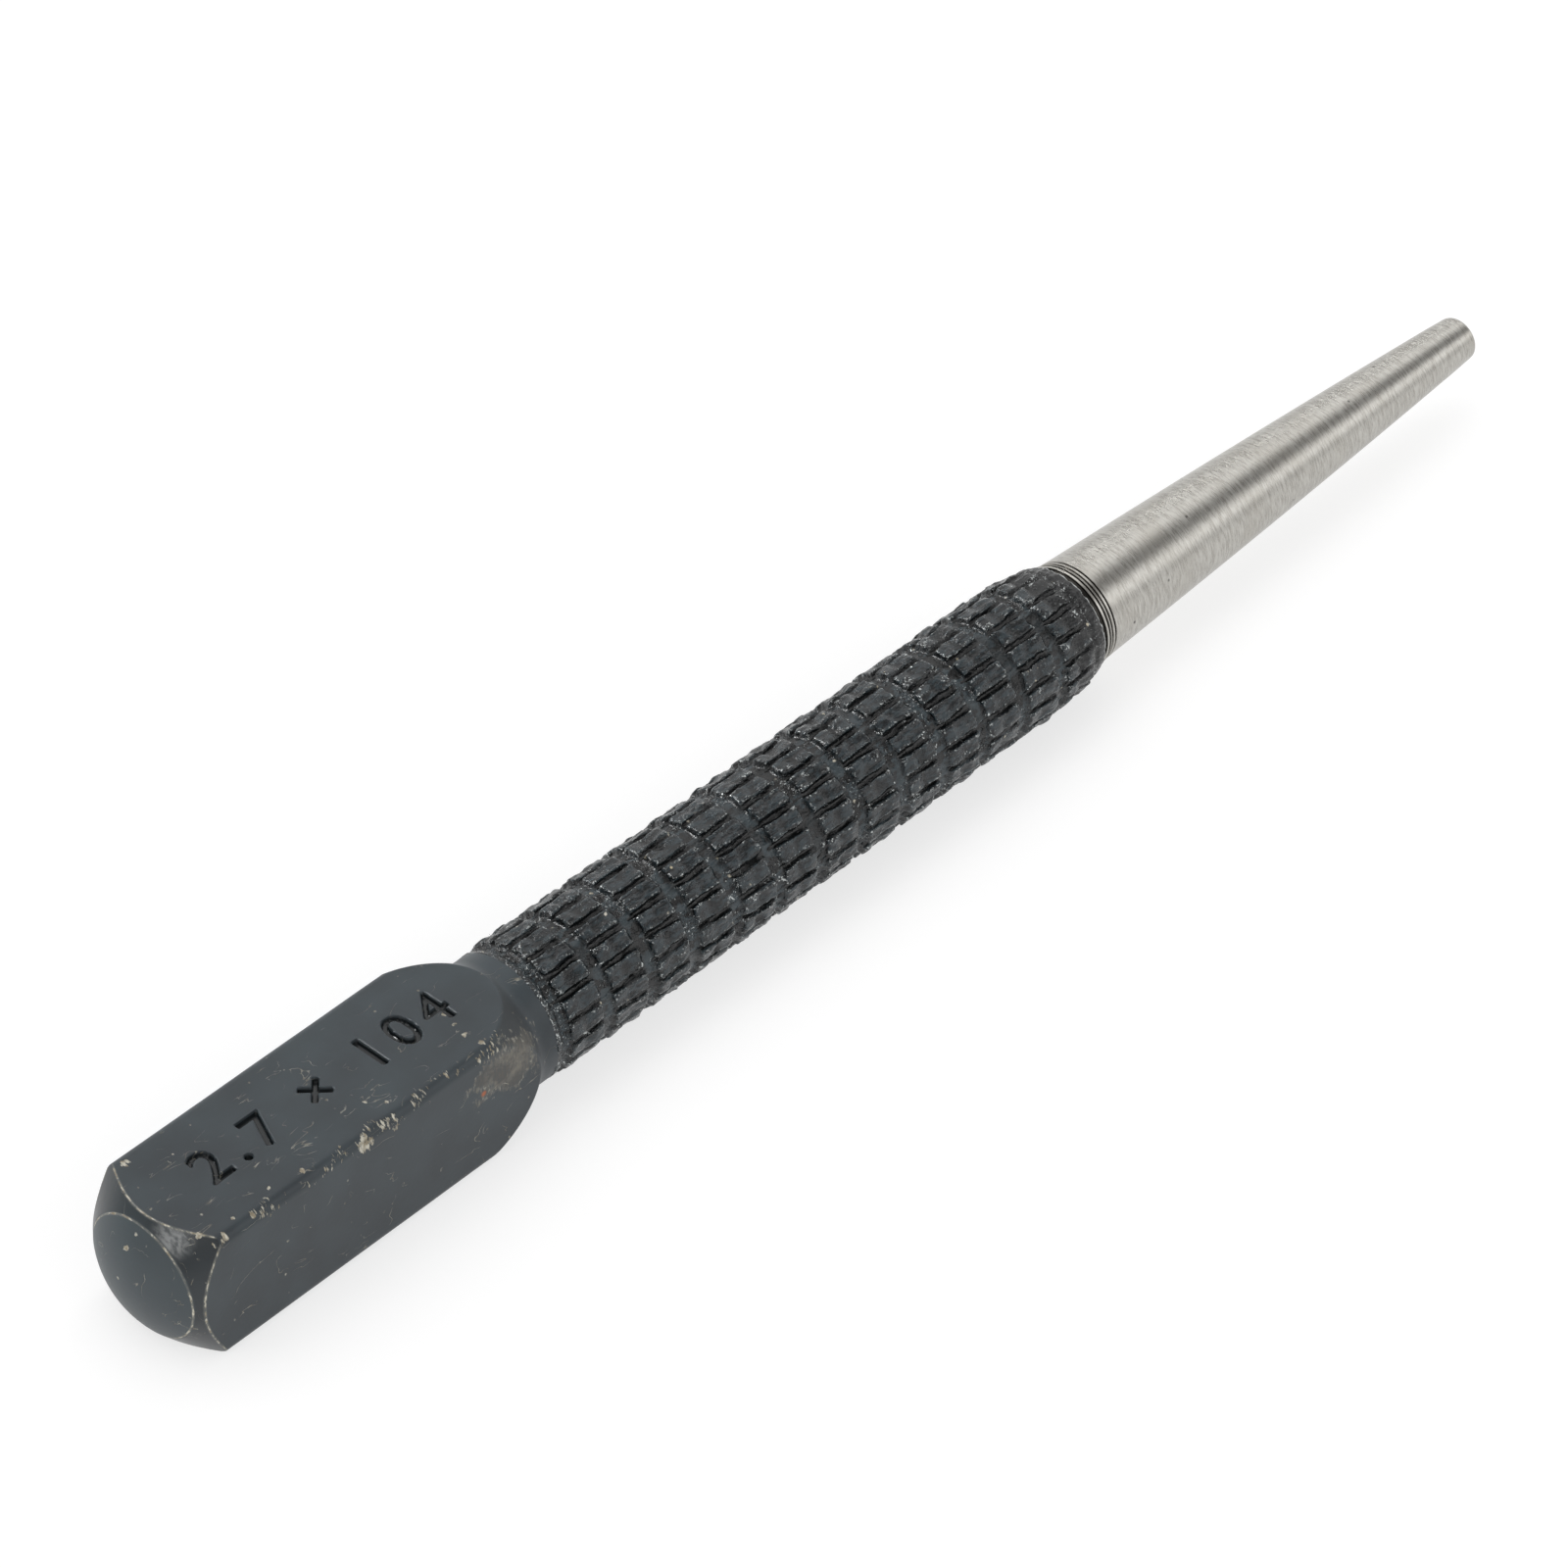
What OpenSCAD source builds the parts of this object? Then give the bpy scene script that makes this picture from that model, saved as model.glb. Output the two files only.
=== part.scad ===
// Nail setter: a hand punch that drives nail heads below the surface.
// It is one steel forging. Each zone of it is a node of its own, and neighbours meet face to face.
// The tool lies along X on one flat of its square head, with its tip towards +X.
// The origin is on the surface that it lies on, below the middle of its length.

/* [Square head] */
// Width of the head across its flats
head_w = 8; // [7:0.1:10]
// Radius of the four long edges of the head
head_edge_r = 0.6; // [0.3:0.05:1]
// Length of the flats, from the rim of the striking face to the turned shoulder
flats_len = 18.5; // [14:0.5:26]

/* [Striking face] */
// Height of the domed face above its rim
dome_h = 1.15; // [0.6:0.05:1.8]
// Radial gap between the rim of the domed face and the flats
rim_inset = 0.45; // [0.2:0.05:1]
// Slope of the turned chamfer behind the rim, from the plane of the rim
chamfer_angle = 42; // [30:1:50]
// Length of plain square that stays with the striking face behind the chamfer
face_land = 0.4; // [0.2:0.1:1]

/* [Shoulder and neck] */
// Radius of the arc that the shoulder is turned to
ogive_r = 9; // [7:0.5:14]
// Radial room between the start of that arc and the corners of the square
ogive_room = 0.18; // [0.1:0.02:0.4]
// Diameter of the neck
neck_d = 7.56; // [6.6:0.02:7.6]
// Length of the neck
neck_len = 1.15; // [0.6:0.05:3]

/* [Knurled grip] */
// Diameter over the crests of the knurl
knurl_d = 7.94; // [7.8:0.02:7.98]
// Number of rows of pads around the grip
knurl_rows = 18; // [12:1:20]
// Number of bands of pads along the grip
knurl_bands = 13; // [8:1:16]
// Distance from one ring groove to the next
band_pitch = 3.19; // [2.6:0.01:4]
// Width of a ring groove at its mouth
ring_w = 1.2; // [0.8:0.05:1.5]
// Depth of the ring grooves
ring_depth = 0.24; // [0.1:0.02:0.3]
// Width of the axial grooves at their mouth
flute_w = 0.5; // [0.3:0.02:0.7]
// Depth of the axial grooves
flute_depth = 0.3; // [0.2:0.02:0.4]
// Length of the run-out after the last band
run_out_len = 0.45; // [0.2:0.05:1]
// Radius that the grip loses over its last band
run_out_drop = 0.24; // [0.1:0.02:0.4]

/* [Collar] */
// Length of the painted shoulder between the knurl and the bright steel
collar_len = 0.85; // [0.5:0.05:2]
// Diameter at the edge of the paint
paint_edge_d = 6.8; // [6.6:0.05:7]
// Number of fine turned rings next to the paint
turned_rings = 4; // [2:1:6]
// Distance from one turned ring to the next
turned_pitch = 0.2; // [0.15:0.01:0.3]
// Depth of the turned rings
turned_depth = 0.05; // [0.03:0.01:0.08]

/* [Shank and tip] */
// Diameter of the bright shank at its thick end
shank_d = 6.18; // [5.5:0.02:6.4]
// Length of the bright taper, up to the end of the tip
taper_len = 34; // [26:1:44]
// Height of the long swell of the taper over a straight cone
taper_swell = 0.09; // [0.02:0.01:0.2]
// Diameter of the tip over its end face
tip_d = 2.7; // [2.2:0.1:3.6]
// Length of the tip, which is kept apart as the wearing end
tip_len = 2; // [1:0.1:4]
// Radius of the edge of the end face
tip_edge_r = 0.2; // [0.1:0.02:0.3]
// Diameter of the cup in the end face
cup_d = 1.6; // [1:0.1:1.7]
// Depth of the cup
cup_depth = 0.4; // [0.2:0.05:0.6]

/* [Hidden] */
$fn = 96;

// How far a cutter runs past what it cuts
overrun = 1;
// Width of a ring groove's floor and of a turned ring, as shares of their mouth and pitch
ring_floor_share = 0.64;
turned_share = 0.6;

// The widest reach of the rounded square from the axis
half_w = head_w / 2;
corner_r = (half_w - head_edge_r) * sqrt(2) + head_edge_r;

// The domed face is a sphere's cap over the rim
rim_r = half_w - rim_inset;
dome_r = (rim_r * rim_r + dome_h * dome_h) / (2 * dome_h);
chamfer_len = (corner_r - rim_r) * tan(chamfer_angle);

// The shoulder's arc is centred where it starts, and it ends where it meets the neck
neck_r = neck_d / 2;
ogive_start_r = corner_r + ogive_room;
ogive_drop = ogive_start_r - neck_r;
ogive_len = sqrt(2 * ogive_r * ogive_drop - ogive_drop * ogive_drop);

// Stations along the tool, from the top of the domed face
rim_at = dome_h;
face_end = rim_at + chamfer_len + face_land;
flats_end = rim_at + flats_len;
neck_at = flats_end + ogive_len;
knurl_at = neck_at + neck_len;
knurl_end = knurl_at + knurl_bands * band_pitch + run_out_len;
last_band_at = knurl_at + (knurl_bands - 1) * band_pitch + ring_w;
paint_edge = knurl_end + collar_len;
shank_at = paint_edge + turned_rings * turned_pitch;
tool_len = shank_at + taper_len;
tip_at = tool_len - tip_len;

knurl_r = knurl_d / 2;
run_out_r = knurl_r - run_out_drop;
paint_edge_r = paint_edge_d / 2;
shank_r = shank_d / 2;
tip_r = tip_d / 2;
cup_r = cup_d / 2;
// The cup is a sphere's cap too
cup_ball_r = (cup_r * cup_r + cup_depth * cup_depth) / (2 * cup_depth);

// The taper is an arc through both of its ends, with its top swell in the middle
taper_steps = 8;
function taper_radius(at) =
    let (share = (at - shank_at) / taper_len)
    shank_r + (tip_r - shank_r) * share + 4 * taper_swell * share * (1 - share);
function taper_points(from, to) =
    [for (i = [0 : taper_steps])
        let (at = from + (to - from) * i / taper_steps)
        [taper_radius(at), at]];

// Turns a tool built up along Z into its place along X
module lay_down() {
    translate([-tool_len / 2, 0, half_w])
        rotate([0, 90, 0])
            children();
}

module rounded_square() {
    inner_w = head_w - 2 * head_edge_r;
    square([head_w, inner_w], center = true);
    square([inner_w, head_w], center = true);
    for (x = [-1, 1], y = [-1, 1])
        translate([x * inner_w / 2, y * inner_w / 2])
            circle(r = head_edge_r);
}

// The square bar between two stations
module square_bar(from, to) {
    translate([0, 0, from])
        linear_extrude(height = to - from)
            rounded_square();
}

// Half of the sphere's section that the domed face is part of
module dome_section() {
    intersection() {
        translate([0, dome_r])
            circle(r = dome_r);
        square([rim_r, dome_h]);
    }
}

module chamfer_section() {
    wide_r = rim_r + (face_end - rim_at) / tan(chamfer_angle);
    polygon([[0, rim_at], [rim_r, rim_at], [wide_r, face_end], [0, face_end]]);
}

module striking_face() {
    color("#43494c")
        lay_down()
            intersection() {
                rotate_extrude() {
                    dome_section();
                    chamfer_section();
                }
                square_bar(0, face_end);
            }
}

module square_head() {
    color("#454c50")
        lay_down()
            square_bar(face_end, flats_end);
}

// The square runs out into a turned arc, which leaves a round-ended flat on each side
module ogive_shoulder() {
    color("#454c50")
        lay_down()
            intersection() {
                rotate_extrude()
                    intersection() {
                        translate([ogive_start_r - ogive_r, flats_end])
                            circle(r = ogive_r);
                        translate([0, flats_end])
                            square([ogive_start_r, ogive_len]);
                    }
                square_bar(flats_end, neck_at);
            }
}

module turned_neck() {
    color("#3a4143")
        lay_down()
            translate([0, 0, neck_at])
                cylinder(r = neck_r, h = neck_len);
}

// The blank that the knurl is cut into, drawn in a little over its last band
module grip_blank() {
    rotate_extrude()
        polygon([[0, knurl_at], [knurl_r, knurl_at], [knurl_r, last_band_at],
                 [run_out_r, knurl_end], [0, knurl_end]]);
}

// One ring groove whose near edge is at the station
module ring_groove(at) {
    floor_w = ring_w * ring_floor_share;
    slope = (ring_w - floor_w) / 2;
    floor_r = knurl_r - ring_depth;
    spread = slope * overrun / ring_depth;
    translate([0, 0, at])
        rotate_extrude()
            polygon([[floor_r, slope], [knurl_r + overrun, -spread],
                     [knurl_r + overrun, ring_w + spread], [floor_r, slope + floor_w]]);
}

// One axial groove, a V that runs the whole length of the grip
module flute() {
    mouth = flute_w / 2 * (flute_depth + overrun) / flute_depth;
    translate([0, 0, knurl_at - overrun])
        linear_extrude(height = knurl_end - knurl_at + 2 * overrun)
            polygon([[knurl_r - flute_depth, 0], [knurl_r + overrun, mouth],
                     [knurl_r + overrun, -mouth]]);
}

module knurled_grip() {
    row_angle = 360 / knurl_rows;
    color("#2f3536")
        lay_down()
            difference() {
                grip_blank();
                for (i = [0 : knurl_bands - 1])
                    ring_groove(knurl_at + i * band_pitch);
                for (i = [0 : knurl_rows - 1])
                    rotate([0, 0, (i + 0.5) * row_angle])
                        flute();
            }
}

// The shoulder that carries the paint's edge, and the fine rings turned next to it
module paint_collar() {
    collar_r = run_out_r - flute_depth / 2;
    groove_w = turned_pitch * turned_share;
    color("#3a4143")
        lay_down()
            difference() {
                rotate_extrude()
                    polygon([[0, knurl_end], [collar_r, knurl_end], [paint_edge_r, paint_edge],
                             [shank_r + turned_depth, paint_edge], [shank_r + turned_depth, shank_at],
                             [0, shank_at]]);
                for (i = [0 : turned_rings - 1])
                    translate([0, 0, paint_edge + (i + 0.5) * turned_pitch])
                        rotate_extrude()
                            translate([shank_r, -groove_w / 2])
                                square([overrun, groove_w]);
            }
}

module tapered_shank() {
    color("#b9b7b2")
        lay_down()
            rotate_extrude()
                polygon(concat([[0, shank_at]], taper_points(shank_at, tip_at), [[0, tip_at]]));
}

// The wearing end: a rounded edge, and a cup that keeps the tip on a nail's head
module cup_tip() {
    base_r = taper_radius(tip_at);
    end_face_r = tip_r - tip_edge_r;
    edge_at = tool_len - tip_edge_r;
    color("#a9a7a2")
        lay_down()
            difference() {
                rotate_extrude() {
                    polygon([[0, tip_at], [base_r, tip_at], [tip_r, edge_at], [0, edge_at]]);
                    translate([0, edge_at])
                        square([end_face_r, tip_edge_r]);
                    translate([end_face_r, edge_at])
                        intersection() {
                            circle(r = tip_edge_r);
                            square(tip_edge_r);
                        }
                }
                translate([0, 0, tool_len - cup_depth + cup_ball_r])
                    sphere(r = cup_ball_r);
            }
}

striking_face();
square_head();
ogive_shoulder();
turned_neck();
knurled_grip();
paint_collar();
tapered_shank();
cup_tip();
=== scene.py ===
# %% [markdown]
# # A nail setter
#
# This lesson dresses one hand punch: a square painted head that a hammer hits, a knurled grip that the
# fingers hold, and a long bright taper whose small cupped tip sits on the head of a nail. The real tool
# is one steel forging, so the pieces below are zones of one bar. Each one takes the place of a plain
# solid of the same zone, and it meets its neighbours on a flat cut. The tool lies along X, with its tip
# towards +X and Z up.

import math

import bmesh
import bpy
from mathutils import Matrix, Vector


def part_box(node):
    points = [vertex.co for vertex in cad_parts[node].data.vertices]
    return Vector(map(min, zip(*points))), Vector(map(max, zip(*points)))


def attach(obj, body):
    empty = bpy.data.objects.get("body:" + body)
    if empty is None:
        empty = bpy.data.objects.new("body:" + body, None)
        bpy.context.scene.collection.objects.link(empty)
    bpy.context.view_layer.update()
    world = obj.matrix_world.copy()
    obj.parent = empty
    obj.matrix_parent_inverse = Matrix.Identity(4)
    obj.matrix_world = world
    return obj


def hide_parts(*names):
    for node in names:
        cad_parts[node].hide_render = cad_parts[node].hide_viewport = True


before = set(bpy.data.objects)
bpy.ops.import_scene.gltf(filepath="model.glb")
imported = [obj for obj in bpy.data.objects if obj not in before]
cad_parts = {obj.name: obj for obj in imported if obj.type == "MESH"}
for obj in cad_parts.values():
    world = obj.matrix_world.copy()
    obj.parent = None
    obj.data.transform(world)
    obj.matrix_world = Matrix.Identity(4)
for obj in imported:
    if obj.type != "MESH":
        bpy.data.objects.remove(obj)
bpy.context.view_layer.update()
print("solids:", sorted(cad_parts))

# %% [markdown]
# ## One unit is one millimetre on the bench
#
# The finished pieces are in metres, but the knurl's edges are a few hundredths of a millimetre across,
# and Blender's tools merge and remesh nothing that small in metres. So each piece is modelled in its own
# place at 1000 times its size, and brought down to metres when it is done. The stations along the tool
# are read from the plain solids, so the new pieces end exactly where those end.

# %% Read the stations and the widths
MM = 0.001
OVERRUN = 1.0  # how far a blank or a cutter runs past what it makes, mm


def ends_of(node):
    """Where a solid starts and ends along the tool, in mm."""
    low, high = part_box(node)
    return low.x / MM, high.x / MM


def width_of(node):
    """How wide a solid is over all, in mm."""
    low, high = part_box(node)
    return (high.z - low.z) / MM


apex_x, face_x = ends_of("striking_face")
flats_x = ends_of("square_head")[1]
neck_x, knurl_x = ends_of("turned_neck")
lip_x = ends_of("knurled_grip")[1]
shank_x = ends_of("paint_collar")[1]
tip_x, end_x = ends_of("cup_tip")
HEAD_W = width_of("square_head")
AXIS_Z = HEAD_W / 2
NECK_R = width_of("turned_neck") / 2
KNURL_R = width_of("knurled_grip") / 2
SHANK_R = width_of("tapered_shank") / 2
TIP_BASE_R = width_of("cup_tip") / 2
print(f"length {end_x - apex_x:.1f} mm, head {HEAD_W:.1f} mm, shank {2 * SHANK_R:.2f} mm")

# %% [markdown]
# ## The camera
#
# The photograph looks down on the tool from beside its striking face, and from near enough that the head
# looms while the tip runs away into the corner of the picture. The camera's place and turn are given in
# the tool's own frame.

# %% Place the camera
CAMERA_PLACE = (-198.532, -174.887, 237.516)
CAMERA_TURN = (48.468, -0.7042, -47.2877)
LENS = 153.617
SENSOR_W = 36.0

camera_data = bpy.data.cameras.new("studio_camera")
camera_data.lens = LENS
camera_data.sensor_width = SENSOR_W
camera_data.clip_start, camera_data.clip_end = 0.01, 20.0
camera = bpy.data.objects.new("studio_camera", camera_data)
bpy.context.scene.collection.objects.link(camera)
camera.location = Vector(CAMERA_PLACE) * MM
camera.rotation_euler = [math.radians(turn) for turn in CAMERA_TURN]
bpy.context.scene.camera = camera
print("camera stands", round(camera.location.length, 3), "m from the tool")

# %% [markdown]
# ## Bench tools
#
# A few helpers stand for what a hand does over and over in Blender: take one piece, pick its faces or
# edges by their place, apply a modifier, saw a piece across, and turn an outline into a round body as a
# lathe does.


# %% Take a piece, and pick parts of it
def take(piece):
    """Makes this piece the only selected one."""
    bpy.ops.object.select_all(action="DESELECT")
    piece.select_set(True)
    bpy.context.view_layer.objects.active = piece


def added(name):
    """Names the primitive that was just added, and puts its place into its mesh."""
    piece = bpy.context.object
    piece.name = piece.data.name = name
    bpy.ops.object.transform_apply(location=True, rotation=True, scale=True)
    return piece


def pick(piece, parts, test):
    """Selects the verts, edges or faces that pass a test, and leaves the piece in edit mode."""
    take(piece)
    bpy.ops.object.mode_set(mode="EDIT")
    bpy.ops.mesh.select_mode(type={"verts": "VERT", "edges": "EDGE", "faces": "FACE"}[parts])
    bpy.ops.mesh.select_all(action="DESELECT")
    mesh = bmesh.from_edit_mesh(piece.data)
    found = [part for part in getattr(mesh, parts) if test(part)]
    for part in found:
        part.select_set(True)
    mesh.select_flush_mode()
    bmesh.update_edit_mesh(piece.data)
    return len(found)


# %% Apply a modifier, saw a piece, and make soft noise
def work(piece, kind, **settings):
    """Adds a modifier with its settings and applies it at once."""
    take(piece)
    modifier = piece.modifiers.new(kind.lower(), kind)
    for setting, value in settings.items():
        setattr(modifier, setting, value)
    bpy.ops.object.modifier_apply(modifier=modifier.name)


def saw(piece, x, keep):
    """Saws a piece across at a station, closes the cut, and keeps the part before or after it."""
    pick(piece, "verts", lambda vert: True)
    bpy.ops.mesh.bisect(plane_co=(x, 0, 0), plane_no=(1, 0, 0), use_fill=True,
                        clear_inner=keep == "after", clear_outer=keep == "before")
    bpy.ops.object.mode_set(mode="OBJECT")


def clouds(name, size):
    """Soft noise whose lumps are about the given size in mm."""
    texture = bpy.data.textures.new(name, "CLOUDS")
    texture.noise_scale = size
    texture.noise_depth = 1
    texture.cloud_type = "COLOR"
    return texture


# %% Turn an outline on the lathe
def turned(name, outline, steps=96):
    """Spins an outline of (station, radius) points round the tool's axis into a closed body."""
    x, r = outline[0]
    bpy.ops.object.select_all(action="DESELECT")
    bpy.ops.mesh.primitive_plane_add(size=1, location=(x, 0, AXIS_Z + r))
    piece = added(name)
    bpy.ops.object.mode_set(mode="EDIT")
    bpy.ops.mesh.select_mode(type="VERT")
    bpy.ops.mesh.select_all(action="SELECT")
    bpy.ops.mesh.merge(type="CENTER")
    for (x0, r0), (x1, r1) in zip(outline, outline[1:]):
        bpy.ops.mesh.extrude_region_move(TRANSFORM_OT_translate={"value": (x1 - x0, 0, r1 - r0)})
    bpy.ops.mesh.select_all(action="SELECT")
    bpy.ops.mesh.spin(steps=steps, angle=math.tau, center=(0, 0, AXIS_Z), axis=(1, 0, 0))
    bpy.ops.mesh.select_all(action="SELECT")
    bpy.ops.mesh.remove_doubles(threshold=0.0005)
    bpy.ops.mesh.normals_make_consistent(inside=False)
    bpy.ops.object.mode_set(mode="OBJECT")
    return piece


def arc(center_x, center_r, radius, start, stop, steps):
    """Points of an arc in the outline's plane. Angles are from the radial direction towards the tip."""
    turns = [start + (stop - start) * i / steps for i in range(steps + 1)]
    return [(center_x + radius * math.sin(turn), center_r + radius * math.cos(turn)) for turn in turns]


def triangles(piece):
    """How many triangles a piece's faces come to."""
    return sum(len(face.vertices) - 2 for face in piece.data.polygons)


# %% [markdown]
# ## The head
#
# On the real tool a square bar is turned at both ends: a low dome with a chamfer behind it at the
# hammer's end, and a long rounded shoulder at the other, which gives each flat its round end. Where a
# turned surface meets a flat, the edge comes out by itself. So the head is made here as it is there: a
# turned blank, kept only where it lies inside a square bar with rounded long edges. The whole head is one
# blank, and it is sawn into its zones at the very end.

# %% Turn the blank for the head
DOME_H = 1.15
RIM_R = 3.55
CHAMFER = math.radians(42)
TURNING_R = 6.2  # wider than the corners of the square, so the flats stay untouched there
OGIVE_R = 9.0
OGIVE_START_R = 5.588
FILLET_R = 1.3

rim_x = apex_x + DOME_H
dome_r = (RIM_R ** 2 + DOME_H ** 2) / (2 * DOME_H)
dome = arc(apex_x + dome_r, 0, dome_r, -math.pi / 2, -math.acos(RIM_R / dome_r), 12)
chamfer_end_x = rim_x + (TURNING_R - RIM_R) * math.tan(CHAMFER)

# The shoulder's arc runs into the neck through a hollow fillet that touches both
ogive_center_r = OGIVE_START_R - OGIVE_R
fillet_up = NECK_R + FILLET_R - ogive_center_r
fillet_along = math.sqrt((OGIVE_R + FILLET_R) ** 2 - fillet_up ** 2)
touch = math.atan2(fillet_along, fillet_up)
ogive = arc(flats_x, ogive_center_r, OGIVE_R, 0, touch, 20)
fillet = arc(flats_x + fillet_along, NECK_R + FILLET_R, FILLET_R, touch + math.pi, math.pi, 6)

head_outline = dome + [(chamfer_end_x, TURNING_R), (flats_x, TURNING_R)] + ogive + fillet[1:]
head_outline += [(knurl_x + OVERRUN, NECK_R), (knurl_x + OVERRUN, 0)]
head = turned("head_blank", head_outline, steps=128)
print("head blank:", len(head.data.polygons), "faces, fillet starts at", round(fillet[0][0], 2))

# %% Keep what lies inside the square bar
EDGE_R = 0.6

bpy.ops.object.select_all(action="DESELECT")
bar_ends = (apex_x - OVERRUN, knurl_x + 2 * OVERRUN)
bpy.ops.mesh.primitive_cube_add(size=1, location=(sum(bar_ends) / 2, 0, AXIS_Z),
                                scale=(bar_ends[1] - bar_ends[0], HEAD_W, HEAD_W))
bar = added("square_bar")
long_edges = pick(bar, "edges", lambda edge: abs(edge.verts[0].co.x - edge.verts[1].co.x) > HEAD_W)
bpy.ops.mesh.bevel(offset=EDGE_R, segments=8, affect="EDGES")
bpy.ops.object.mode_set(mode="OBJECT")
work(head, "BOOLEAN", object=bar, operation="INTERSECT", solver="EXACT")
bpy.data.objects.remove(bar)
print("rounded", long_edges, "long edges; head:", len(head.data.polygons), "faces")

# %% [markdown]
# ## Soften the head
#
# Enamel rounds every edge of a forging a little, and the flats of a forged bar are never quite true. A
# bevel wouldn't do here, because the turned edges run out into the flats. Instead the head is rebuilt
# from small even cells. One smoothing pass rounds its edges by about a cell, and soft noise a few
# millimetres across sinks the flats unevenly.

# %% Soften the head, as paint over a forging
HEAD_GRAIN = 0.065

work(head, "REMESH", mode="VOXEL", voxel_size=HEAD_GRAIN)
work(head, "SMOOTH", factor=0.5, iterations=1)
# A middle level of 1 only ever moves the skin inwards, so the head stays within its bar
work(head, "DISPLACE", texture=clouds("forging", 5.0), strength=0.03, mid_level=1, direction="NORMAL")
print("head:", triangles(head), "triangles")

# %% [markdown]
# ## Numbers stamped in the head
#
# A setter carries its size, pressed into one flat before it is painted, so the paint pools in the
# strokes. Here they are plain numbers: the width of the tip and the length of the tool in millimetres.
# The text tool draws them on the upper flat. A worn stamp leaves no sharp edge, so they aren't cut out.
# Each vertex of the head is weighted by how near it lies to a stroke, and pressed down by that weight.

# %% Stamp the numbers
TIP_R = 1.35
STAMP_SIZE = 3.3
STAMP_SPACING = 1.32
STAMP_THINNED = -0.05  # how far each stroke's edge is drawn in
STAMP_DEPTH = 0.3
STROKE_CORE = 0.02
STROKE_SPREAD = 0.12
STAMP_MID_X = (face_x + neck_x) / 2 - 0.5

bpy.ops.object.select_all(action="DESELECT")
bpy.ops.object.text_add(location=(STAMP_MID_X, 0, HEAD_W))
stamp = bpy.context.object
stamp.data.body = f"{2 * TIP_R:.1f} × {end_x - apex_x:.0f}"
stamp.data.align_x = stamp.data.align_y = "CENTER"
stamp.data.size = STAMP_SIZE
stamp.data.offset = STAMP_THINNED
stamp.data.space_character = STAMP_SPACING
bpy.ops.object.convert(target="MESH")
stamp = added("stamp")

flat = pick(head, "verts", lambda vert: vert.co.z > HEAD_W - EDGE_R and face_x < vert.co.x < neck_x)
bpy.ops.object.vertex_group_add()
bpy.context.scene.tool_settings.vertex_group_weight = 1.0
bpy.ops.object.vertex_group_assign()
bpy.ops.object.mode_set(mode="OBJECT")
pressed = head.vertex_groups.active.name
work(head, "VERTEX_WEIGHT_PROXIMITY", vertex_group=pressed, target=stamp, proximity_mode="GEOMETRY",
     proximity_geometry={"FACE"}, min_dist=STROKE_SPREAD, max_dist=STROKE_CORE, falloff_type="SMOOTH")
work(head, "DISPLACE", vertex_group=pressed, strength=-STAMP_DEPTH, mid_level=0, direction="Z")
bpy.data.objects.remove(stamp)
head.vertex_groups.clear()
print("stamped", flat, "vertices of the upper flat")

# %% [markdown]
# ## The knurl
#
# The real grip is a round bar that is cut twice: ring grooves are turned across it, and narrow grooves
# are pressed along it. What stays are 18 rows of 13 small pads. Cutting all those grooves out of a
# cylinder would work too, but two hundred crossings make a fragile mesh. So it is built up instead: one
# row is a low rib with its pads on top, the row is copied round a core, and all of it is fused. A worn
# roller leaves no two pads alike, so the rows are shaken with noise before they are fused.

# %% Model one pad
BANDS = 13
ROWS = 18
BAND_PITCH = 3.19
RING_MID = 0.6  # from the start of a band to the middle of its ring groove
RING_W = 0.95  # at the mouth
RING_FLOOR_W = 0.5
RING_DEPTH = 0.42
FLUTE_W = 0.29
FLUTE_DEPTH = 0.44
CREST_ROOM = 0.09  # the noise below lifts the pads by about this much
PAD_ROOT = 0.3  # how far pads and ribs reach down into the core
PAD_BEVEL = 0.06
PAD_DRAFT = 0.84  # width of a pad's top, as a share of its foot's
PAD_DENT = 0.13
PAD_DENT_REACH = 0.3  # half the length of a pad's dented middle
LAST_BAND_DROP = 0.24

pad_w = math.tau * KNURL_R / ROWS - FLUTE_W
pad_len = BAND_PITCH - RING_FLOOR_W
pad_top_share = (BAND_PITCH - RING_W) / pad_len
crest_r = KNURL_R - CREST_ROOM
crest_z = AXIS_Z + crest_r
flute_floor_r = KNURL_R - FLUTE_DEPTH
rib_top_r = KNURL_R - RING_DEPTH
first_pad_x = knurl_x + RING_MID + RING_FLOOR_W / 2
pad_mid_x = first_pad_x + pad_len / 2
last_band_x = first_pad_x + (BANDS - 1) * BAND_PITCH


def block(name, start, stop, width, low_r, high_r):
    """A box over the axis, between two stations and two radii."""
    bpy.ops.object.select_all(action="DESELECT")
    middle = ((start + stop) / 2, 0, AXIS_Z + (low_r + high_r) / 2)
    bpy.ops.mesh.primitive_cube_add(size=1, location=middle,
                                    scale=(stop - start, width, high_r - low_r))
    return added(name)


row = block("pads", first_pad_x, first_pad_x + pad_len, pad_w, flute_floor_r - PAD_ROOT, crest_r)
pick(row, "faces", lambda face: face.normal.z > 0.9)
bpy.ops.transform.resize(value=(pad_top_share, PAD_DRAFT, 1), center_override=(pad_mid_x, 0, crest_z))
bpy.ops.object.mode_set(mode="OBJECT")
pick(row, "edges", lambda edge: min(vert.co.z for vert in edge.verts) > crest_z - 0.01)
bpy.ops.mesh.bevel(offset=PAD_BEVEL, segments=2, affect="EDGES")
bpy.ops.mesh.select_all(action="SELECT")
bpy.ops.mesh.subdivide(number_cuts=3)
bpy.ops.object.mode_set(mode="OBJECT")

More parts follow.
